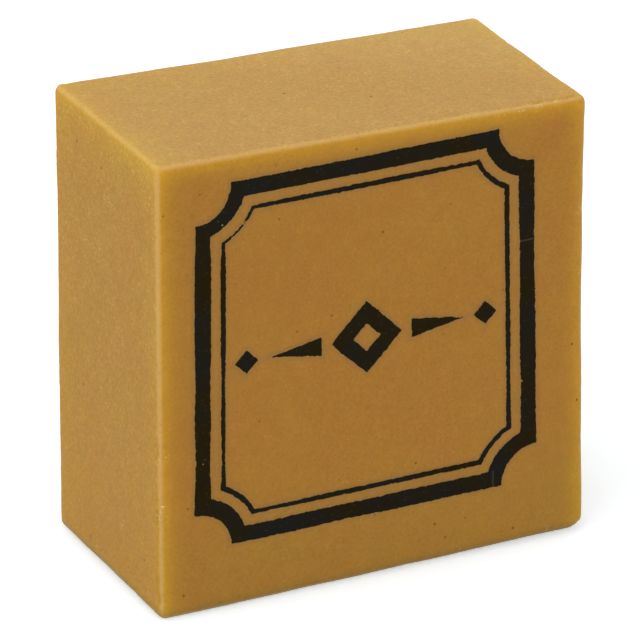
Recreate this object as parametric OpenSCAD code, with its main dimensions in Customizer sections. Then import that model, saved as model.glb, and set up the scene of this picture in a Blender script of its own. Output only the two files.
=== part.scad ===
// Gum eraser: one square block of crumbly gum that stands on a narrow side,
// with a border and an ornament stamped in dark ink into its front face.
// Millimetres. +X runs right along the front face, the front face looks along -Y,
// +Z is up, and the origin is under the middle of the block, on its foot.

/* [Block] */
// Width from side to side
block_w = 25.4; // [24:0.05:40]
// Height of the left side
left_h = 26.15; // [24:0.05:40]
// Height of the right side, which was cut a little shorter
right_h = 25.55; // [24:0.05:40]
// How far the top of the left side leans in
left_lean = 0.06; // [0:0.01:0.3]
// How far the top of the right side leans in
right_lean = 0.1; // [0:0.01:0.3]
// Thickness from the front face to the back face
block_d = 13.2; // [8:0.05:20]
// How far the right side is hollowed at its waist
waist_hollow = 0.1; // [0.02:0.01:0.3]

/* [Worn edges] */
// Radius of the upper left edge, front to back
top_left_r = 0.4; // [0.3:0.05:1.5]
// Radius of the upper right edge, front to back
top_right_r = 0.7; // [0.3:0.05:1.5]
// Radius of the lower left edge, front to back
foot_left_r = 0.55; // [0.3:0.05:1.5]
// Radius of the lower right edge, which is worn the most
foot_right_r = 0.85; // [0.3:0.05:1.5]
// Radius of the left upright edge at the front
front_left_r = 0.45; // [0.3:0.05:1.5]
// Radius of the right upright edge at the front
front_right_r = 0.7; // [0.3:0.05:1.5]
// Radius of the upright edges at the back
back_upright_r = 0.45; // [0.3:0.05:1.5]
// Radius of the top edges at the front and the back
top_face_r = 0.5; // [0.3:0.05:1.5]
// Radius of the foot edges at the front and the back
foot_face_r = 0.6; // [0.3:0.05:1.5]

/* [Stamped print] */
// Width of the border
print_w = 20; // [19:0.1:21]
// Height of the border
print_h = 20.8; // [19:0.1:21]
// Width of the outer rule
outer_rule_w = 0.95; // [0.3:0.05:1.2]
// Clear gap between the outer and the inner rule
rule_gap = 0.55; // [0.3:0.05:0.7]
// Width of the inner rule
inner_rule_w = 0.3; // [0.2:0.05:0.6]
// Radius of the quarter circles that notch the corners of the border
notch_r = 2.1; // [1:0.1:4]
// How far the middle of the print is left of the middle of the face
print_left = 0.6; // [0:0.05:1.2]
// How far the middle of the print is above the middle of the face
print_up = 1.3; // [0:0.05:1.6]
// Angle at which the print was set, in degrees anticlockwise
print_turn = 0.2; // [-1:0.1:1]
// Depth that the stamp pressed into the gum
stamp_depth = 0.06; // [0.03:0.01:0.2]
// Thickness of the ink that lies in it
ink_t = 0.05; // [0.02:0.01:0.15]

/* [Ornament] */
// Width and height of the middle lozenge
lozenge = 4.2; // [3:0.1:4.5]
// Width of the clear lozenge inside it
lozenge_eye = 1.6; // [0.5:0.1:2.5]
// Length of the tapered dash on each side
dash_l = 3.2; // [2:0.1:3.5]
// Height of a dash at its thick end
dash_h = 1.2; // [0.4:0.05:1.5]
// Clear gap between the ornament's pieces
ornament_gap = 0.5; // [0.2:0.05:0.6]
// Width and height of the small lozenge at each end
end_lozenge = 1.4; // [0.5:0.1:1.4]

/* [Hidden] */
gum = "#C08F43";
ink = "#211C12";
$fn = 96;
over = 1;
foot_left = [-block_w / 2, 0];
foot_right = [block_w / 2, 0];
top_left = [left_lean - block_w / 2, left_h];
top_right = [block_w / 2 - right_lean, right_h];
block_h = max(left_h, right_h);
bar_h = block_h + 3 * over;
top_slope = atan2(left_h - right_h, top_right[0] - top_left[0]);
middle_h = left_h + top_left[0] * tan(top_slope);
right_side_l = norm(top_right - foot_right);
waist_r = (right_side_l * right_side_l / 4 + waist_hollow * waist_hollow) / (2 * waist_hollow);
waist_out = [right_h, right_lean] / right_side_l;
waist_middle = (foot_right + top_right) / 2 + waist_out * (waist_r - waist_hollow);
dash_start = lozenge / 2 + ornament_gap;
end_lozenge_x = dash_start + dash_l + ornament_gap + end_lozenge / 2;

// Unit vector from a to b
function towards(a, b) = (b - a) / norm(b - a);
// Half of the inside angle at b, between a and c
function half_angle(a, b, c) = acos(towards(b, a) * towards(b, c)) / 2;
// Where an arc of radius r leaves the side from corner b towards a
function tangent_point(a, b, c, r) = b + towards(b, a) * r / tan(half_angle(a, b, c));
// Centre of the arc of radius r that rounds the corner b
function arc_centre(a, b, c, r) =
    b + towards([0, 0], towards(b, a) + towards(b, c)) * r / sin(half_angle(a, b, c));

// A convex outline with its own radius at each corner
module rounded_outline(corners, radii) {
    last = len(corners) - 1;
    function before(i) = corners[i == 0 ? last : i - 1];
    function after(i) = corners[i == last ? 0 : i + 1];
    polygon([
        for (i = [0 : last], side = [0, 1])
            side == 0 ? tangent_point(before(i), corners[i], after(i), radii[i])
                      : tangent_point(after(i), corners[i], before(i), radii[i])
    ]);
    for (i = [0 : last])
        translate(arc_centre(before(i), corners[i], after(i), radii[i])) circle(r = radii[i]);
}

// The outline seen from the front, with the right side hollowed
module front_outline() {
    difference() {
        rounded_outline([foot_left, foot_right, top_right, top_left],
                        [foot_left_r, foot_right_r, top_right_r, top_left_r]);
        translate(waist_middle) circle(r = waist_r, $fn = 720);
    }
}

// A bar as thick as the block, along X. Its top is at z = 0, with both long edges rounded,
// and it hangs down further than the block is high.
module edge_bar(r) {
    translate([-block_w / 2 - over, 0, 0]) rotate([90, 0, 90])
        linear_extrude(block_w + 2 * over)
            rounded_outline(
                [[-block_d / 2, -bar_h], [block_d / 2, -bar_h], [block_d / 2, 0], [-block_d / 2, 0]],
                [r, r, r, r]);
}

// The outline seen from above
module plan_outline() {
    rounded_outline(
        [[-block_w / 2, -block_d / 2], [block_w / 2, -block_d / 2],
         [block_w / 2, block_d / 2], [-block_w / 2, block_d / 2]],
        [front_left_r, front_right_r, back_upright_r, back_upright_r]);
}

// A lozenge with its points up, down and to the sides
module lozenge_shape(width) {
    polygon([[-width / 2, 0], [0, -width / 2], [width / 2, 0], [0, width / 2]]);
}

// A rectangle whose corners are notched by quarter circles, drawn in by inset
module notched_rectangle(inset) {
    difference() {
        square([print_w - 2 * inset, print_h - 2 * inset], center = true);
        for (x = [-1, 1], z = [-1, 1])
            translate([x * print_w, z * print_h] / 2) circle(r = notch_r + inset);
    }
}

// One rule of the border
module border_rule(inset, rule_w) {
    difference() {
        notched_rectangle(inset);
        notched_rectangle(inset + rule_w);
    }
}

// A lozenge with an eye, between two tapered dashes and two small lozenges
module ornament() {
    difference() {
        lozenge_shape(lozenge);
        lozenge_shape(lozenge_eye);
    }
    for (side = [-1, 1]) {
        polygon([[side * dash_start, -dash_h / 2], [side * (dash_start + dash_l), 0],
                 [side * dash_start, dash_h / 2]]);
        translate([side * end_lozenge_x, 0]) lozenge_shape(end_lozenge);
    }
}

// The whole print, its middle at the origin
module print_outline() {
    border_rule(0, outer_rule_w);
    border_rule(outer_rule_w + rule_gap, inner_rule_w);
    ornament();
}

// Stands an outline up in the front face's plane and fills it from y0 to y0 + depth
module upright(y0, depth) {
    translate([0, y0 + depth, 0]) rotate([90, 0, 0]) linear_extrude(depth) children();
}

// Fills the print from a depth behind the front face, forwards by thickness
module placed_print(behind, thickness) {
    upright(behind - block_d / 2 - thickness, thickness)
        translate([-print_left, middle_h / 2 + print_up]) rotate(print_turn) print_outline();
}

// The gum: the outlines from the front and from above, crossed with the bars that round
// the long edges of the sloping top and of the foot, less what the stamp pressed in
module gum_block() {
    color(gum) difference() {
        intersection() {
            upright(-block_d / 2 - over, block_d + 2 * over) front_outline();
            translate([0, 0, -over]) linear_extrude(block_h + 2 * over) plan_outline();
            translate([0, 0, middle_h]) rotate([0, top_slope, 0]) edge_bar(top_face_r);
            mirror([0, 0, 1]) edge_bar(foot_face_r);
        }
        placed_print(stamp_depth, stamp_depth + over);
    }
}

// The ink, lying on the floor of what the stamp pressed in
module face_print() {
    color(ink) placed_print(stamp_depth, ink_t);
}

gum_block();
face_print();
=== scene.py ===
# Gum eraser: a square block of crumbly brown gum that stands on one of its narrow sides,
# with a double rule and an ornament stamped in dark ink on its front face.
# Shapes are worked out in millimetres and turned into metres as their meshes are made.
# +X runs right along the front face, the front face looks along -Y, and +Z is up.

import math

import bpy
import numpy as np
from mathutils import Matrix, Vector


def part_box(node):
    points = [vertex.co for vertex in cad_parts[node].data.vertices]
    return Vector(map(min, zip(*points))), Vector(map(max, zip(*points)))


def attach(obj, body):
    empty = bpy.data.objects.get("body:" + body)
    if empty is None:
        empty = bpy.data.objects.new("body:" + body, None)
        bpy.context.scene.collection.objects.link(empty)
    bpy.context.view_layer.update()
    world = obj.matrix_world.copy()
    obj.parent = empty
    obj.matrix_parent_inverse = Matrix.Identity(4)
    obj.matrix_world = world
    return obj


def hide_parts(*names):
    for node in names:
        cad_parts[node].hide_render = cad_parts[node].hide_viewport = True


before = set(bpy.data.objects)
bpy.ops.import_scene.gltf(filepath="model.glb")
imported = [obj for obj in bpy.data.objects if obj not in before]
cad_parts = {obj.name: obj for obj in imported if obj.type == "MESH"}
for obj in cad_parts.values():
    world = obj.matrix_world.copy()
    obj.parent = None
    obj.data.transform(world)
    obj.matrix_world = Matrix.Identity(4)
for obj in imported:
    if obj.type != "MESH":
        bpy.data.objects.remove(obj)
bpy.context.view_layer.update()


# ---------------------------------------------------------------------------------------
# Gum block. The real one is a slab of soft vegetable gum, cast and sawn into squares: six
# matt, slightly uneven faces, with edges that crumble away as they wear. It is one solid
# piece, as brown inside as outside, and a little light passes through its thin edges.

MM = 0.001
BLOCK_W = 25.4
BLOCK_D = 13.2
LEFT_H = 26.12
RIGHT_H = 25.55

# How far the block departs from a true box: how much lower its top is at the back, how far
# the top of each side leans in, how far the front stands in at its left end, and how deep
# the right side is hollowed at its waist
BACK_SINK = 0.1
LEFT_LEAN = 0.08
RIGHT_LEAN = 0.12
FRONT_LEAN = 0.16
BACK_LEAN = 0.16
FRONT_LEFT_IN = 0.15
WAIST_HOLLOW = 0.1

# Radius of each edge at its low end, its middle and its high end. An edge is named by the
# side of the block that it is on along X, Y and Z, with 0 for the way it runs.
EDGE_RADII = {
    (-1, 0, 1): (0.38, 0.35, 0.32),
    (1, 0, 1): (0.62, 0.7, 0.62),
    (-1, 0, -1): (0.5, 0.6, 0.6),
    (1, 0, -1): (0.95, 0.85, 0.8),
    (-1, -1, 0): (0.5, 0.34, 0.32),
    (1, -1, 0): (0.6, 0.7, 0.8),
    (-1, 1, 0): (0.55, 0.45, 0.33),
    (1, 1, 0): (0.6, 0.6, 0.6),
    (0, -1, 1): (0.38, 0.38, 0.45),
    (0, 1, 1): (0.35, 0.5, 0.65),
    (0, -1, -1): (0.5, 0.65, 0.95),
    (0, 1, -1): (0.6, 0.6, 0.6),
}

# The mesh has closer points within the margin of each edge. The skin is set in a little, so
# that its relief stays inside the size of the block.
FACE_SPACING = 0.2
EDGE_SPACING = 0.08
EDGE_MARGIN = 0.96
SKIN_INSET = 0.02
FACE_RELIEF = 0.005
SIDE_RELIEF = 0.008
CRUMBLE = 0.005
CRUMB_BAND = 0.9
DEEPEST_CHIP = 0.08
BITES = 40

# Places along the edges where crumbs have broken off: middle, reach and depth
CHIPS = [
    ((-12.6, -6.5, 10.0), 0.6, 0.08),
    ((-12.6, -6.5, 9.5), 0.4, 0.06),
    ((-12.6, -6.5, 6.9), 0.5, 0.07),
    ((-12.6, -6.5, 6.0), 0.6, 0.08),
    ((-12.6, -6.5, 5.3), 0.45, 0.06),
    ((-12.5, -6.5, 1.2), 0.35, 0.08),
    ((7.4, -6.5, 26.0), 0.5, 0.05),
    ((8.6, -6.5, 26.0), 0.4, 0.05),
    ((9.7, -6.5, 26.0), 0.45, 0.06),
    ((10.6, -6.5, 26.0), 0.4, 0.05),
    ((11.5, -6.5, 26.0), 0.5, 0.06),
    ((4.9, -6.6, 0.5), 0.4, 0.04),
    ((10.4, -6.6, 0.6), 0.4, 0.04),
    ((12.3, -6.5, 19.3), 0.6, 0.04),
    ((12.3, -6.5, 17.3), 0.5, 0.03),
    ((12.3, -6.5, 15.8), 0.5, 0.03),
]

# Places of single dark grits, and of patches where pale crumbs lie close together
DARK_GRITS = [
    (-12.67, 2.3, 1.24),
    (-12.64, 3.05, 9.95),
    (-12.62, 0.49, 23.48),
    (-12.68, -4.46, 2.84),
    (-12.62, 3.55, 23.83),
    (-2.07, 0.3, 25.8),
    (1.93, -1.93, 25.72),
    (12, -6.5, 19.84),
    (8.24, -6.57, 1.07),
    (11.7, -6.53, 11.27),
    (12.05, -6.55, 7.9),
    (0.41, -6.42, 20.01),
    (3.53, -6.55, 2.33),
    (-11.3, -6.45, 1.31),
    (2.38, -6.52, 6.19),
]
PALE_PATCHES = [
    (-12.66, -1.95, 3.75),
    (-12.68, 1.7, 1.05),
    (-12.5, -6.3, 9.8),
    (-12.5, -6.3, 6.1),
    (5.2, -0.3, 25.7),
    (-4.4, 4.2, 25.8),
    (10.4, -5.4, 25.6),
]

half_block = np.array([BLOCK_W, BLOCK_D, LEFT_H]) / 2
block_middle = np.array([0, 0, LEFT_H / 2])


def spaced_positions(length):
    """Positions from 0 to length, closer together near both ends."""
    end = np.arange(0, EDGE_MARGIN - EDGE_SPACING / 2, EDGE_SPACING)
    cells = round((length - 2 * EDGE_MARGIN) / FACE_SPACING)
    middle = np.linspace(EDGE_MARGIN, length - EDGE_MARGIN, cells + 1)
    return np.concatenate([end, middle, length - end[::-1]])


def box_skin(xs, ys, zs):
    """The six sides of a box as points and quads that share their points along the edges."""
    number = np.full((len(xs), len(ys), len(zs)), -1)
    places = np.indices(number.shape)
    last = np.array(number.shape)[:, None, None, None] - 1
    on_skin = ((places == 0) | (places == last)).any(0)
    number[on_skin] = np.arange(on_skin.sum())
    i, j, k = (place[on_skin] for place in places)
    points = np.stack([xs[i], ys[j], zs[k]], axis=1)
    sides = [
        (number[-1], 1),
        (number[0], -1),
        (number[:, 0], 1),
        (number[:, -1], -1),
        (number[:, :, -1], 1),
        (number[:, :, 0], -1),
    ]
    quads = []
    for side, turn in sides:
        corners = [side[:-1, :-1], side[1:, :-1], side[1:, 1:], side[:-1, 1:]]
        quads.append(np.stack(corners, axis=-1).reshape(-1, 4)[:, ::turn])
    return points, np.concatenate(quads)


def ripple(points, size, seed):
    """Smooth random relief, mostly from -2 to 2, with its bumps about that size apart."""
    waves = 40
    chance = np.random.default_rng(seed)
    course = chance.normal(size=(waves, points.shape[1]))
    course /= np.linalg.norm(course, axis=1, keepdims=True)
    course *= 2 * math.pi / size * chance.uniform(0.6, 1.4, (waves, 1))
    start = chance.uniform(0, 2 * math.pi, waves)
    return np.cos(points @ course.T + start).sum(axis=1) / math.sqrt(waves / 2)


def smooth_step(value):
    """0 below 0, 1 above 1, and a smooth rise between."""
    part = np.clip(value, 0, 1)
    return part * part * (3 - 2 * part)


def edge_line_distance(local, edge):
    """Distance of each point from one of the box's edges, as (x, y, z) signs with 0 along it."""
    away = np.where(np.array(edge) == 0, 0, local - np.array(edge) * half_block)
    return np.linalg.norm(away, axis=1)


def worn_radius(local):
    """The edge radius near each point, blended where edges meet and uneven along them."""
    total = 0
    share = 0
    for edge, (low, middle, high) in EDGE_RADII.items():
        along = (local / half_block)[:, edge.index(0)]
        radius = middle + (high - low) / 2 * along + ((high + low) / 2 - middle) * along**2
        weight = 1 / (edge_line_distance(local, edge) ** 2 + 0.3) ** 2
        total = total + weight * radius
        share = share + weight
    return total / share * (1 + 0.03 * ripple(local, 4, 11) + 0.015 * ripple(local, 1.2, 12))


def edge_bites():
    """The chips that have a fixed place, and small seeded bites spread along every edge."""
    chance = np.random.default_rng(21)
    bites = list(CHIPS)
    edges = list(EDGE_RADII)
    for _ in range(BITES):
        edge = np.array(edges[chance.integers(len(edges))])
        place = np.where(edge == 0, chance.uniform(-1, 1, 3), edge * 0.99) * half_block
        bites.append((place + block_middle, chance.uniform(0.15, 0.35), chance.uniform(0.01, 0.035)))
    return bites


def edge_gaps(local):
    """How far each point is from the planes of the sides, the front, the back and the top."""
    side = half_block[0] - abs(local[:, 0])
    front = half_block[1] + local[:, 1]
    back = half_block[1] - local[:, 1]
    top = half_block[2] - local[:, 2]
    return side, front, back, top


def painted_glow_near_edges(local, outward):
    """How strongly the glow painted near each edge stands in for light that entered through the next
    face and comes out there.

    The front and back, the sides and the top each have their own fall of painted glow with the
    distance from the faces beside them, and a rounded edge blends them by the way it faces.
    """
    side, front, back, top = edge_gaps(local)
    across, deep, up = (outward**2).T
    beside, below = (0.57 * np.exp(-0.4 * gap - 1.2 * gap**2) for gap in (side, top))
    on_face = beside + below - beside * below
    on_side = 0.38 * np.exp(-top / 1.4) + 0.2 * np.exp(-front / 0.9) + 0.13 * np.exp(-back / 1.5)
    on_top = 0.22 * np.exp(-side / 0.9) + 0.1 * np.exp(-back / 1.8)
    on_face = on_face * np.where(local[:, 1] < 0, 1, 0.6)
    return deep * on_face + across * on_side + up * on_top


def nearest_edge_gap(local):
    """Distance from the nearest edge, the foot's edges among them."""
    side, front, back, top = edge_gaps(local)
    foot = half_block[2] + local[:, 2]
    gaps = np.sort([side, np.minimum(front, back), np.minimum(top, foot)], axis=0)
    return gaps[1]


def inwards(x, y, z):
    """How far back each point moves because the front and the back stand in and lean."""
    rightwards = x / BLOCK_W + 0.5
    backwards = y / BLOCK_D + 0.5
    upwards = z / LEFT_H
    front = FRONT_LEFT_IN * (1 - rightwards) + FRONT_LEAN * upwards
    return front * (1 - backwards) - BACK_LEAN * upwards * backwards


def worn_block():
    """Points and quads of the worn block, in millimetres, standing on its flat foot, and the
    masks that its material reads."""
    points, quads = box_skin(*(spaced_positions(2 * half) for half in half_block))
    local = points - half_block
    radius = worn_radius(local)[:, None]
    core = np.clip(local, radius - half_block, half_block - radius)
    outward = (local - core) / np.linalg.norm(local - core, axis=1, keepdims=True)
    local = core + radius * outward
    masks = {"edge_gap": nearest_edge_gap(local), "painted_edge_glow": painted_glow_near_edges(local, outward)}

    near_edge = 1 - smooth_step(masks["edge_gap"] / CRUMB_BAND)
    patchy = smooth_step(0.3 + 0.5 * ripple(local, 3, 13))
    relief = FACE_RELIEF * ripple(local, 5, 14)
    relief += SIDE_RELIEF * ripple(local, 9, 15) * smooth_step(1 + outward[:, 1])
    relief += CRUMBLE * near_edge * (0.2 + patchy) * ripple(local, 0.32, 16)
    broken = 0
    for place, reach, depth in edge_bites():
        nearness = 1 - np.linalg.norm(local + block_middle - place, axis=1) / reach
        broken = broken + depth * smooth_step(nearness * 1.6)
    relief -= broken * (1 + 0.3 * ripple(local, 0.35, 17))
    masks["broken"] = np.clip(broken / DEEPEST_CHIP, 0, 1)
    on_foot = smooth_step(-outward[:, 2] * 4 - 3)
    local += outward * ((relief - SKIN_INSET) * (1 - on_foot))[:, None]

    x, y, z = (local + block_middle).T
    rightwards = x / BLOCK_W + 0.5
    backwards = y / BLOCK_D + 0.5
    upwards = z / LEFT_H
    z = upwards * (LEFT_H + (RIGHT_H - LEFT_H) * rightwards - BACK_SINK * backwards)
    waist = (1 - (2 * upwards - 1) ** 2) * smooth_step(x / (BLOCK_W / 2))
    x = x + upwards * (LEFT_LEAN * (1 - rightwards) - RIGHT_LEAN * rightwards) - WAIST_HOLLOW * waist
    y = y + inwards(x, y, z)
    low, high = (np.array(corner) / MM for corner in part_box("gum_block"))
    return np.clip(np.stack([x, y, z], axis=1), low, high), quads, masks


def mesh_piece(name, points, faces, material):
    """An object at the origin with a smooth mesh, from points in millimetres."""
    mesh = bpy.data.meshes.new(name)
    mesh.from_pydata((np.asarray(points) * MM).tolist(), [], np.asarray(faces).tolist())
    mesh.shade_smooth()
    mesh.materials.append(material)
    piece = bpy.data.objects.new(name, mesh)
    bpy.context.scene.collection.objects.link(piece)
    return piece


def add_node(tree, kind, values=(), **settings):
    """A shader node with its settings, each named input linked to a socket or set to a value."""
    node = tree.nodes.new("ShaderNode" + kind)
    for name, setting in settings.items():
        setattr(node, name, setting)
    for name, value in dict(values).items():
        if isinstance(value, bpy.types.NodeSocket):
            tree.links.new(value, node.inputs[name])
        else:
            node.inputs[name].default_value = value
    return node


def calc(tree, operation, *values):
    """The result of one sum on numbers or sockets."""
    node = add_node(tree, "Math", enumerate(values), operation=operation)
    return node.outputs[0]


def rise(tree, value, start, end):
    """A smooth mask: 0 where the value is at start or beyond it, 1 at end."""
    values = {"Value": value, "From Min": start, "From Max": end}
    node = add_node(tree, "MapRange", values, interpolation_type="SMOOTHSTEP")
    return node.outputs["Result"]


def blend_colour(tree, amount, under, over, how="MIX"):
    """Two colours blended by an amount from 0 to 1."""
    node = add_node(tree, "Mix", {0: amount, 6: under, 7: over}, data_type="RGBA", blend_type=how)
    return node.outputs[2]


def place_in_mm(tree):
    """The place on the object in millimetres."""
    coordinates = add_node(tree, "TexCoord").outputs["Object"]
    values = {0: coordinates, "Scale": 1 / MM}
    return add_node(tree, "VectorMath", values, operation="SCALE").outputs[0]


def nearest_spot(tree, spots):
    """Distance in millimetres from the nearest of a few places."""
    nearest = 99
    for spot in spots:
        values = {0: place_in_mm(tree), 1: spot}
        gap = add_node(tree, "VectorMath", values, operation="DISTANCE").outputs["Value"]
        nearest = calc(tree, "MINIMUM", nearest, gap)
    return nearest


def crumb_grain():
    """Group: the gum's crumbs, pits, specks, grain and mottle as masks, and its height.

    Loose crumbs are a second, denser scatter of pale crumbs, for the places that crumble.
    """
    group = bpy.data.node_groups.new("Gum grain", "ShaderNodeTree")
    panel = group.interface
    for name, value in (("Crumb size", 0.2), ("Speck spacing", 1.1)):
        panel.new_socket(name, in_out="INPUT", socket_type="NodeSocketFloat").default_value = value
    inputs = group.nodes.new("NodeGroupInput").outputs
    place = place_in_mm(group)

    def cells(size):
        scale = calc(group, "DIVIDE", 1, size)
        cell = add_node(group, "TexVoronoi", {"Vector": place, "Scale": scale})
        draw = add_node(group, "SeparateColor", {"Color": cell.outputs["Color"]}).outputs
        return cell.outputs["Distance"], draw

    def noise(scale, detail):
        values = {"Vector": place, "Scale": scale, "Detail": detail, "Roughness": 0.6}
        return add_node(group, "TexNoise", values).outputs[0]

    gap, draw = cells(inputs["Crumb size"])
    grain_spot = rise(group, gap, 0.45, 0.15)
    crumb = calc(group, "MULTIPLY", grain_spot, rise(group, draw[0], 0.7, 0.95))
    loose = calc(group, "MULTIPLY", grain_spot, rise(group, draw[2], 0.45, 0.75))
    pit = calc(group, "MULTIPLY", grain_spot, rise(group, draw[1], 0.8, 0.97))
    gap, draw = cells(inputs["Speck spacing"])
    speck_gap = calc(group, "ADD", gap, calc(group, "MULTIPLY", draw[1], 0.05))
    speck_spot = rise(group, speck_gap, 0.1, 0.045)
    speck = calc(group, "MULTIPLY", speck_spot, rise(group, draw[0], 0.5, 0.7))
    fine = noise(5.5, 2)
    grain_height = calc(group, "MULTIPLY", fine, 0.02)
    height = calc(group, "ADD", calc(group, "MULTIPLY", crumb, 0.006), grain_height)
    height = calc(group, "SUBTRACT", height, calc(group, "MULTIPLY", speck, 0.02))
    height = calc(group, "SUBTRACT", height, calc(group, "MULTIPLY", pit, 0.006))
    results = {
        "Pale crumbs": crumb,
        "Loose crumbs": loose,
        "Pits": pit,
        "Dark specks": speck,
        "Fine grain": fine,
        "Mottle": noise(1.3, 4),
        "Cloud": noise(0.25, 2),
        "Height": height,
    }
    for name in results:
        panel.new_socket(name, in_out="OUTPUT", socket_type="NodeSocketFloat")
    outputs = group.nodes.new("NodeGroupOutput")
    for name, value in results.items():
        group.links.new(value, outputs.inputs[name])
    return group


def new_material(name):
    """A material with nodes, and its Principled shader."""
    material = bpy.data.materials.new(name)
    material.use_nodes = True
    return material, material.node_tree, material.node_tree.nodes["Principled BSDF"]


def bump(tree, height, strength):
    """A normal from a height in millimetres."""
    values = {"Height": height, "Distance": MM, "Strength": strength}
    return add_node(tree, "Bump", values).outputs["Normal"]


grain = crumb_grain()

# Colours of the gum, of the dust and crumbs that lie on it, and of what shows in it, with the colours
# of a painted glow, a painted edge highlight and painted shade at the foot. The painted glow and the
# low tint multiply the colour under them, and the pale swing is added to it.
FRESH_GUM = (0.476, 0.215, 0.022, 1)
SIDE_DUST = (0.72, 0.57, 0, 1)
TOP_DUST = (0.79, 0.57, 0.22, 1)
WHITE = (1, 1, 1, 1)
# EDGE_GLOW_PAINT tints the colour as a painted glow near the edges
EDGE_GLOW_PAINT = (1.8, 2.15, 0.3, 1)
# WORN_GUM_AND_HIGHLIGHT is the pale colour of worn edges and of their painted highlight
WORN_GUM_AND_HIGHLIGHT = (0.78, 0.52, 0.21, 1)
LOW_TINT = (0.96, 1.04, 1.06, 1)
# FOOT_SHADE_PAINT is painted shade and a painted floor reflection on the rim of the foot
FOOT_SHADE_PAINT = (0.2, 0.185, 0.05, 1)
PALE_SWING = (1, 0.68, 0.34)
CRUMB = (0.85, 0.68, 0.36, 1)
LOOSE_CRUMB = (0.92, 0.8, 0.5, 1)
PIT = (0.2, 0.1, 0.02, 1)
GRIT = (0.13, 0.055, 0.006, 1)
BLED_INK = (0.26, 0.15, 0.06, 1)


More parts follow.
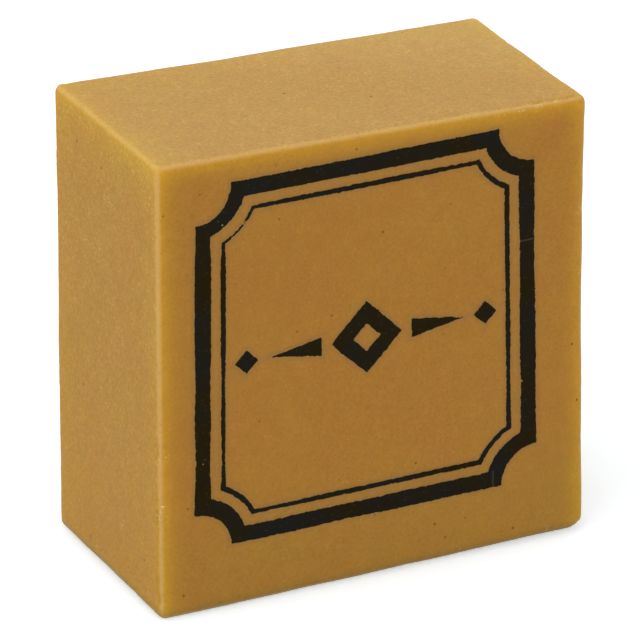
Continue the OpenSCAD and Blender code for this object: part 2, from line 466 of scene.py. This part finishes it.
def gum_material():
    """Matt brown gum: dusty where it lies open, with a painted golden glow near its edges and pale
    paint along them that is partly wear and partly a painted highlight.
    """
    material, tree, shader = new_material("Gum")
    crumbs = add_node(tree, "Group", node_tree=grain)
    crumbs.inputs["Crumb size"].default_value = 0.15
    crumbs.inputs["Speck spacing"].default_value = 1.1
    crumbs = crumbs.outputs

    def mask(name):
        return add_node(tree, "Attribute", attribute_name=name).outputs["Fac"]

    # The gum was cut on every side but the front. Dust lies on the cut sides, thickest on the
    # top and at its far corner.
    normal = add_node(tree, "TexCoord").outputs["Normal"]
    facing = add_node(tree, "SeparateXYZ", {0: normal}).outputs
    cut_side = rise(tree, facing["Y"], -0.95, -0.2)
    level = rise(tree, facing["Z"], 0.1, 0.9)
    place = add_node(tree, "SeparateXYZ", {0: place_in_mm(tree)}).outputs
    far_corner = rise(tree, calc(tree, "MULTIPLY_ADD", place["X"], 0.5, place["Y"]), 1, 8)
    dust = calc(tree, "MULTIPLY_ADD", level, calc(tree, "MULTIPLY_ADD", far_corner, 0.1, 0.17), 0.08)
    dust = calc(tree, "MULTIPLY", dust, cut_side)
    dust_colour = blend_colour(tree, level, SIDE_DUST, TOP_DUST)
    colour = blend_colour(tree, dust, FRESH_GUM, dust_colour)

    # Its colour drifts a little from place to place
    shade = calc(tree, "MULTIPLY_ADD", crumbs["Mottle"], 0.24, 0.88)
    warm = calc(tree, "MULTIPLY_ADD", crumbs["Cloud"], 0.16, 0.92)
    tint = add_node(tree, "CombineColor", {0: shade, 1: calc(tree, "MULTIPLY", shade, warm), 2: shade})
    colour = blend_colour(tree, 1, colour, tint.outputs[0], "MULTIPLY")

    # A glow painted near the edges stands in for light that shows through them, and the edges
    # themselves are painted pale
    painted_glow_colour = blend_colour(tree, mask("painted_edge_glow"), WHITE, EDGE_GLOW_PAINT)
    colour = blend_colour(tree, 1, colour, painted_glow_colour, "MULTIPLY")
    # The edges are painted pale: partly wear, partly a painted highlight on their rounding, painted
    # weaker on the top left edge
    top_left = rise(tree, calc(tree, "MULTIPLY", facing["X"], facing["Z"]), -0.1, -0.4)
    worn_and_highlight = calc(tree, "MULTIPLY_ADD", top_left, -0.22, 0.55)
    worn_and_highlight = calc(tree, "MULTIPLY", rise(tree, mask("edge_gap"), 0.34, 0.1), worn_and_highlight)
    colour = blend_colour(tree, worn_and_highlight, colour, WORN_GUM_AND_HIGHLIGHT)

    # The front is a little greyer low down, and the rim of the foot is painted dark all round: painted
    # shade where it meets the floor, greyed by a painted reflection of the floor
    low = calc(tree, "MULTIPLY", rise(tree, place["Z"], 8, 2), calc(tree, "SUBTRACT", 1, cut_side))
    colour = blend_colour(tree, low, colour, LOW_TINT, "MULTIPLY")
    painted_foot_shade = calc(tree, "MULTIPLY_ADD", cut_side, 0.2, 0.28)
    painted_foot_shade = calc(tree, "MULTIPLY", rise(tree, place["Z"], 0.8, 0.35), painted_foot_shade)
    colour = blend_colour(tree, painted_foot_shade, colour, FOOT_SHADE_PAINT)

    # The grain is stronger on the cut sides
    grain_strength = calc(tree, "MULTIPLY_ADD", cut_side, 0.14, 0.12)
    swing = calc(tree, "SUBTRACT", crumbs["Fine grain"], 0.5)
    swing = calc(tree, "MULTIPLY", swing, grain_strength)
    swings = [calc(tree, "MULTIPLY", swing, part) for part in PALE_SWING]
    pale_swing = add_node(tree, "CombineColor", enumerate(swings)).outputs[0]
    colour = add_node(tree, "VectorMath", {0: colour, 1: pale_swing}, operation="ADD").outputs[0]

    # Pale crumbs lie in patches, and closest where the gum crumbles
    patches = rise(tree, crumbs["Mottle"], 0.42, 0.62)
    pale = calc(tree, "MULTIPLY_ADD", cut_side, 0.35, 0.12)
    pale = calc(tree, "MULTIPLY", pale, calc(tree, "MULTIPLY_ADD", patches, 0.8, 0.2))
    pale = calc(tree, "MULTIPLY", pale, crumbs["Pale crumbs"])
    colour = blend_colour(tree, pale, colour, CRUMB)
    crumbly = calc(tree, "MULTIPLY", rise(tree, nearest_spot(tree, PALE_PATCHES), 0.7, 0.2), 0.45)
    crumbly = calc(tree, "MAXIMUM", crumbly, calc(tree, "MULTIPLY", mask("broken"), 0.9))
    crumbly = calc(tree, "MULTIPLY", crumbly, crumbs["Loose crumbs"])
    colour = blend_colour(tree, crumbly, colour, LOOSE_CRUMB)

    # Pits, dark specks and grits, and ink that bled a little way out from the print
    colour = blend_colour(tree, calc(tree, "MULTIPLY", crumbs["Pits"], 0.32), colour, PIT)
    dark = calc(tree, "MULTIPLY", crumbs["Dark specks"], 0.6)
    grit = calc(tree, "MULTIPLY", rise(tree, nearest_spot(tree, DARK_GRITS), 0.11, 0.05), 0.8)
    dark = calc(tree, "MAXIMUM", dark, grit)
    colour = blend_colour(tree, dark, colour, GRIT)
    bled = calc(tree, "MULTIPLY", rise(tree, mask("print_gap"), 0.35, 0.02), 0.3)
    colour = blend_colour(tree, bled, colour, BLED_INK)

    # The gum stands a little lower right beside the ink, where the stamp pressed it down
    lip = calc(tree, "MULTIPLY", rise(tree, mask("print_gap"), 0.02, 0.2), 0.02)
    height = calc(tree, "ADD", crumbs["Height"], lip)
    tree.links.new(colour, shader.inputs["Base Color"])
    tree.links.new(calc(tree, "MULTIPLY_ADD", crumbs["Mottle"], 0.16, 0.56), shader.inputs["Roughness"])
    tree.links.new(bump(tree, height, 0.8), shader.inputs["Normal"])
    shader.inputs["Specular IOR Level"].default_value = 0.3
    shader.inputs["Subsurface Weight"].default_value = 0.35
    shader.inputs["Subsurface Radius"].default_value = (1, 0.6, 0.25)
    shader.inputs["Subsurface Scale"].default_value = 0.6 * MM
    return material


def add_mask(piece, name, values):
    """Stores one number a point on the mesh, for the material to read."""
    mask = piece.data.attributes.new(name, "FLOAT", "POINT")
    mask.data.foreach_set("value", np.asarray(values, np.float32))


gum_points, gum_quads, gum_masks = worn_block()
gum = mesh_piece("gum_eraser_block", gum_points, gum_quads, gum_material())
for mask_name, mask_values in gum_masks.items():
    add_mask(gum, mask_name, mask_values)
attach(gum, "root")
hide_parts("gum_block")


# ---------------------------------------------------------------------------------------
# Stamped print. A rubber stamp pressed oily black ink into the front face: a thick and a
# thin rule with notched corners round a lozenge between two tapered dashes. The ink is a
# skin a few hundredths thick, ragged at its rims where it ran between the crumbs.

PRINT_W = 20
PRINT_H = 20.8
OUTER_RULE_W = 0.95
RULE_GAP = 0.55
INNER_RULE_W = 0.3
NOTCH_R = 2.1
LOZENGE = 4.2
LOZENGE_EYE = 1.6
DASH_L = 3.2
DASH_H = 1.2
ORNAMENT_GAP = 0.5
END_LOZENGE = 1.4
DASH_START = LOZENGE / 2 + ORNAMENT_GAP
END_LOZENGE_X = DASH_START + DASH_L + ORNAMENT_GAP + END_LOZENGE / 2

# Where the stamp landed: its middle, its turn, and the share by which the print is narrower
# for each millimetre up
PRINT_LEFT = 0.53
PRINT_MIDDLE_Z = 14.14
PRINT_TURN = math.radians(0.2)
PRINT_TAPER = 0.0015

# The ink's back and front lie this far from the middle of the block. Its face drops towards
# its rim, and its outline is cut from a grid of small cells and frayed.
INK_BACK = 6.55
INK_FRONT = 6.597
INK_RIM = 0.1
RIM_DROP = 0.018
INK_CELL = 0.06
RAGGED = 0.009


def notched_rectangle(x, z, inset):
    """Distance from a rectangle with quarter circles cut from its corners, negative inside."""
    from_side = abs(x) - PRINT_W / 2
    from_end = abs(z) - PRINT_H / 2
    rectangle = np.maximum(from_side, from_end) + inset
    return np.maximum(rectangle, NOTCH_R + inset - np.hypot(from_side, from_end))


def border_rule(x, z, inset, width):
    """Distance from one rule of the border."""
    return np.maximum(notched_rectangle(x, z, inset), -notched_rectangle(x, z, inset + width))


def lozenge(x, z, width):
    """Distance from a lozenge with its points up, down and to the sides."""
    return (abs(x) + abs(z) - width / 2) / math.sqrt(2)


def tapered_dash(x, z):
    """Distance from the dashes on both sides, which narrow to a point as they go outwards."""
    taper = DASH_H / 2 / DASH_L
    edge = (abs(z) - taper * (DASH_START + DASH_L - abs(x))) / math.hypot(1, taper)
    return np.maximum(edge, DASH_START - abs(x))


def print_gap(x, z):
    """Distance from the whole print in its own flat frame, negative in the ink."""
    return np.minimum.reduce([
        border_rule(x, z, 0, OUTER_RULE_W),
        border_rule(x, z, OUTER_RULE_W + RULE_GAP, INNER_RULE_W),
        np.maximum(lozenge(x, z, LOZENGE), -lozenge(x, z, LOZENGE_EYE)),
        tapered_dash(x, z),
        lozenge(abs(x) - END_LOZENGE_X, z, END_LOZENGE),
    ])


def ragged_gap(flat):
    """The print's distance with the rims frayed and a few pinholes where no ink took."""
    gap = print_gap(*flat.T)
    gap = gap + RAGGED * ripple(flat, 0.6, 31) + RAGGED * ripple(flat, 0.2, 32)
    missed = ripple(flat, 0.28, 33) + 0.5 * ripple(flat, 2.5, 34)
    return np.maximum(gap, (missed - 3.7) * 0.1)


def ink_skin():
    """Points and quads of the ink: a grid cut along the ragged outline, given a thickness."""
    reach = (PRINT_W / 2 + 2 * INK_CELL, PRINT_H / 2 + 2 * INK_CELL)
    steps = [np.arange(-half, half, INK_CELL) for half in reach]
    grid = np.stack(np.meshgrid(*steps, indexing="ij"), axis=-1)
    gap = ragged_gap(grid.reshape(-1, 2)).reshape(grid.shape[:2])
    slope = np.stack(np.gradient(gap, INK_CELL), axis=-1)
    pull = slope * (gap / np.maximum((slope**2).sum(axis=-1), 0.2))[..., None]
    outside = (gap > 0)[..., None]
    grid = np.where(outside, grid - np.clip(pull, -INK_CELL, INK_CELL), grid)

    inked = gap < 0
    kept = inked[:-1, :-1] | inked[1:, :-1] | inked[1:, 1:] | inked[:-1, 1:]
    number = np.arange(gap.size).reshape(gap.shape)
    corners = [number[:-1, :-1], number[1:, :-1], number[1:, 1:], number[:-1, 1:]]
    quads = np.stack(corners, axis=-1)[kept]
    used, quads = np.unique(quads, return_inverse=True)
    quads = quads.reshape(-1, 4)

    flat = grid.reshape(-1, 2)[used]
    body = smooth_step(-gap.ravel()[used] / INK_RIM)
    front = INK_FRONT - RIM_DROP * (1 - body) + 0.002 * np.minimum(ripple(flat, 0.4, 35), 0)
    across = flat[:, 0] * (1 - PRINT_TAPER * flat[:, 1])
    turn_x = across * math.cos(PRINT_TURN) - flat[:, 1] * math.sin(PRINT_TURN)
    turn_z = across * math.sin(PRINT_TURN) + flat[:, 1] * math.cos(PRINT_TURN)
    x = turn_x - PRINT_LEFT
    z = turn_z + PRINT_MIDDLE_Z
    gum_face = inwards(x, -BLOCK_D / 2, z)
    face = np.stack([x, gum_face - front, z], axis=1)
    back = np.stack([x, gum_face - INK_BACK, z], axis=1)

    starts = quads.ravel()
    ends = np.roll(quads, -1, axis=1).ravel()
    shared = set(zip(ends.tolist(), starts.tolist()))
    rim = [(a, b) for a, b in zip(starts.tolist(), ends.tolist()) if (a, b) not in shared]
    a, b = np.array(rim).T
    count = len(used)
    walls = np.stack([b, a, a + count, b + count], axis=1)
    return np.concatenate([face, back]), np.concatenate([quads, quads[:, ::-1] + count, walls])


OILY_INK = (0.0165, 0.0105, 0.0012, 1)
DRY_INK = (0.011, 0.011, 0.009, 1)
CRUMB_IN_INK = (0.3, 0.2, 0.08, 1)
SCRATCHED_INK = (0.12, 0.1, 0.07, 1)
SIDE_SCRATCH_Z = 17.9
LOW_SCRATCH_X = 7


def ink_material():
    """Dark ink that shows the gum's grain, with two faint scratches across its thick rule."""
    material, tree, shader = new_material("Ink")
    crumbs = add_node(tree, "Group", node_tree=grain)
    crumbs.inputs["Crumb size"].default_value = 0.16
    crumbs.inputs["Speck spacing"].default_value = 0.7
    crumbs = crumbs.outputs
    thin = rise(tree, crumbs["Cloud"], 0.35, 0.7)
    colour = blend_colour(tree, thin, OILY_INK, DRY_INK)
    pale = calc(tree, "MULTIPLY", crumbs["Pale crumbs"], 0.08)
    colour = blend_colour(tree, pale, colour, CRUMB_IN_INK)
    place = add_node(tree, "SeparateXYZ", {0: place_in_mm(tree)}).outputs
    gap = calc(tree, "ABSOLUTE", calc(tree, "SUBTRACT", place["Z"], SIDE_SCRATCH_Z))
    on_right_rule = rise(tree, place["X"], 8.4, 8.5)
    side_scratch = calc(tree, "MULTIPLY", rise(tree, gap, 0.07, 0.02), on_right_rule)
    gap = calc(tree, "ABSOLUTE", calc(tree, "SUBTRACT", place["X"], LOW_SCRATCH_X))
    on_low_rule = rise(tree, place["Z"], 4.8, 4.7)
    low_scratch = calc(tree, "MULTIPLY", rise(tree, gap, 0.07, 0.02), on_low_rule)
    scratch = calc(tree, "MULTIPLY", calc(tree, "MAXIMUM", side_scratch, low_scratch), 0.35)
    colour = blend_colour(tree, scratch, colour, SCRATCHED_INK)
    tree.links.new(colour, shader.inputs["Base Color"])
    tree.links.new(bump(tree, crumbs["Height"], 0.6), shader.inputs["Normal"])
    shader.inputs["Roughness"].default_value = 0.6
    shader.inputs["Specular IOR Level"].default_value = 0.04
    return material


ink_points, ink_quads = ink_skin()
ink = mesh_piece("stamped_ink", ink_points, ink_quads, ink_material())
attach(ink, "root")
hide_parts("face_print")

# The gum's material reads how far each point of the front face is from the ink
FAR = 9
on_front = gum_points[:, 1] < 0.5 - BLOCK_D / 2
across = gum_points[:, 0] + PRINT_LEFT
above = gum_points[:, 2] - PRINT_MIDDLE_Z
print_x = across * math.cos(PRINT_TURN) + above * math.sin(PRINT_TURN)
print_z = above * math.cos(PRINT_TURN) - across * math.sin(PRINT_TURN)
print_x = print_x / (1 - PRINT_TAPER * print_z)
add_mask(gum, "print_gap", np.where(on_front, print_gap(print_x, print_z), FAR))


# ---------------------------------------------------------------------------------------
# Floor, light and camera. The floor is a sheet of white acrylic under one large soft lamp, up
# to the left, and the camera looks down at the front left corner with a long lens.

FLOOR_SIZE = 3
LAMP_SIZE = 0.75
LAMP_PLACE = (-0.23, -0.11, 0.54)
LAMP_POWER = 1.96
ROOM_LIGHT = 0.55
FLOOR_COLOUR = (0.85, 0.85, 0.85, 1)
ACRYLIC = (0.85, 0.93, 0.99, 1)
ACRYLIC_SCATTER = 2.6
FLOOR_GLOW = 0.425
CAMERA_AIM = (-0.00009, 0.00004, 0.01238)
CAMERA_DISTANCE = 0.3847
CAMERA_AZIMUTH = math.radians(-26.28)
CAMERA_ELEVATION = math.radians(24.72)
CAMERA_LENS = 404.5

scene = bpy.context.scene
scene.view_settings.view_transform = "Standard"


def seen_directly(tree):
    """1 for rays that come straight from the camera, from a gloss or through glass."""
    path = add_node(tree, "LightPath").outputs
    seen = calc(tree, "MAXIMUM", path["Is Camera Ray"], path["Is Glossy Ray"])
    return calc(tree, "MAXIMUM", seen, path["Is Transmission Ray"])


def studio_floor():
    """A sheet of white acrylic, which softens the block's shadow and shows as pure white.

    Light that bounces from it onto the block comes from a plain diffuse surface.
    """
    material, tree, shader = new_material("Studio floor")
    tree.nodes.remove(shader)
    plain = add_node(tree, "BsdfDiffuse", {"Color": FLOOR_COLOUR}).outputs[0]
    sheet = {"Color": ACRYLIC, "Radius": (1, 1, 1), "Scale": ACRYLIC_SCATTER * MM}
    shown = add_node(tree, "SubsurfaceScattering", sheet, falloff="BURLEY").outputs[0]
    lit = add_node(tree, "Emission", {"Color": WHITE, "Strength": FLOOR_GLOW}).outputs[0]
    shown = add_node(tree, "AddShader", {0: shown, 1: lit}).outputs[0]
    both = add_node(tree, "MixShader", {0: seen_directly(tree), 1: plain, 2: shown})
    tree.links.new(both.outputs[0], tree.nodes["Material Output"].inputs["Surface"])
    edge = FLOOR_SIZE / MM / 2
    corners = [(-edge, -edge, 0), (edge, -edge, 0), (edge, edge, 0), (-edge, edge, 0)]
    return mesh_piece("studio_floor", corners, [(0, 1, 2, 3)], material)


studio_floor()

world = bpy.data.worlds.new("Studio")
world.use_nodes = True
scene.world = world
room = world.node_tree
room_light = room.nodes["Background"]
room_light.inputs["Color"].default_value = (ROOM_LIGHT, ROOM_LIGHT, ROOM_LIGHT, 1)
white = add_node(room, "Background", {"Color": WHITE}).outputs[0]
sky = add_node(room, "MixShader", {0: seen_directly(room), 1: room_light.outputs[0], 2: white})
room.links.new(sky.outputs[0], room.nodes["World Output"].inputs["Surface"])

lamp_data = bpy.data.lights.new("Soft box", "AREA")
lamp_data.size = LAMP_SIZE
lamp_data.energy = LAMP_POWER
lamp = bpy.data.objects.new("Soft box", lamp_data)
lamp.location = LAMP_PLACE
lamp.rotation_euler = (-lamp.location).to_track_quat("-Z", "Y").to_euler()
lamp.visible_camera = False
scene.collection.objects.link(lamp)

camera_data = bpy.data.cameras.new("Camera")
camera_data.lens = CAMERA_LENS
camera_data.clip_start = 0.01
camera = bpy.data.objects.new("Camera", camera_data)
camera.location = [
    CAMERA_AIM[0] + CAMERA_DISTANCE * math.sin(CAMERA_AZIMUTH) * math.cos(CAMERA_ELEVATION),
    CAMERA_AIM[1] - CAMERA_DISTANCE * math.cos(CAMERA_AZIMUTH) * math.cos(CAMERA_ELEVATION),
    CAMERA_AIM[2] + CAMERA_DISTANCE * math.sin(CAMERA_ELEVATION),
]
aim = Vector(CAMERA_AIM) - camera.location
camera.rotation_euler = aim.to_track_quat("-Z", "Y").to_euler()
scene.collection.objects.link(camera)
scene.camera = camera
